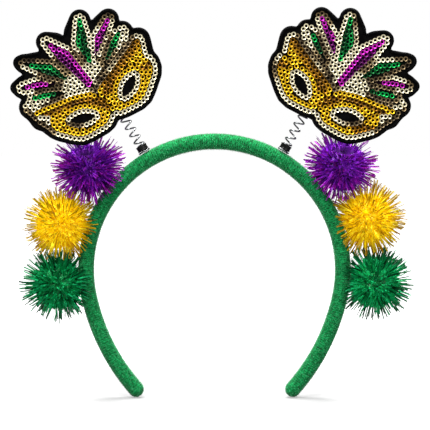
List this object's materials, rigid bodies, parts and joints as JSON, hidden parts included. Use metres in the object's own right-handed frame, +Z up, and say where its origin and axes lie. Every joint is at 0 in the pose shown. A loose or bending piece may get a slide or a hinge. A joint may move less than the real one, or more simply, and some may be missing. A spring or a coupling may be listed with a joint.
{
  "type": "carnival headband",
  "caption": "Padded velour headband worn over the crown, with sequinned masquerade masks bobbing on coil springs and tinsel pompoms along its sides.",
  "frame": {"origin": "middle of the band's underside at the crown, where it rests on the head", "axes": "+Z up as worn, +X across from one ear to the other, to the right of someone who faces the wearer, -Y out of the front, the side the masks face"},
  "size_m": [0.2281, 0.0378, 0.2186],
  "materials": {
    "velour": "soft ribbed velour sleeve",
    "spring_steel": "bright plated wire",
    "black_sleeve": "satin black",
    "black_felt": "black felt with satin stitch",
    "pale_gold_sequins": "metallised cup sequins",
    "gold_sequins": "metallised cup sequins",
    "purple_sequins": "metallised cup sequins",
    "green_sequins": "metallised cup sequins",
    "purple_tinsel": "metallised film strips",
    "gold_tinsel": "metallised film strips",
    "green_tinsel": "metallised film strips"
  },
  "bodies": {
    "band": {"band": "velour", "left_spring": "spring_steel", "left_collar": "black_sleeve", "left_pompom_purple": "purple_tinsel", "left_pompom_gold": "gold_tinsel", "left_pompom_green": "green_tinsel", "right_spring": "spring_steel", "right_collar": "black_sleeve", "right_pompom_purple": "purple_tinsel", "right_pompom_gold": "gold_tinsel", "right_pompom_green": "green_tinsel"},
    "left_mask": {"left_backing": "black_felt", "left_spring_tab": "black_felt", "left_trim": "pale_gold_sequins", "left_face": "gold_sequins", "left_eye_ring_outer": "pale_gold_sequins", "left_eye_ring_inner": "pale_gold_sequins", "left_feather_outer_low": "green_sequins", "left_feather_outer_mid": "purple_sequins", "left_feather_outer_high": "green_sequins", "left_feather_middle": "purple_sequins", "left_feather_inner_high": "green_sequins", "left_feather_inner_mid": "purple_sequins", "left_feather_inner_low": "green_sequins"},
    "right_mask": {"right_backing": "black_felt", "right_spring_tab": "black_felt", "right_trim": "pale_gold_sequins", "right_face": "gold_sequins", "right_eye_ring_outer": "pale_gold_sequins", "right_eye_ring_inner": "pale_gold_sequins", "right_feather_outer_low": "green_sequins", "right_feather_outer_mid": "purple_sequins", "right_feather_outer_high": "green_sequins", "right_feather_middle": "purple_sequins", "right_feather_inner_high": "green_sequins", "right_feather_inner_mid": "purple_sequins", "right_feather_inner_low": "green_sequins"}
  },
  "joints": [
    {"name": "left_nod", "type": "hinge", "parent": "band", "child": "left_mask", "pos_m": [-0.0457, 0, 0.0094], "axis": [0.8554, 0, 0.518], "range_deg": [-15, 30], "stiffness_Nm_per_rad": 0.02, "springref_deg": -0.57, "deforming": ["left_spring"]},
    {"name": "right_nod", "type": "hinge", "parent": "band", "child": "right_mask", "pos_m": [0.0447, 0, 0.01], "axis": [0.8695, 0, -0.4939], "range_deg": [-15, 30], "stiffness_Nm_per_rad": 0.02, "springref_deg": -0.57, "deforming": ["right_spring"]}
  ]
}
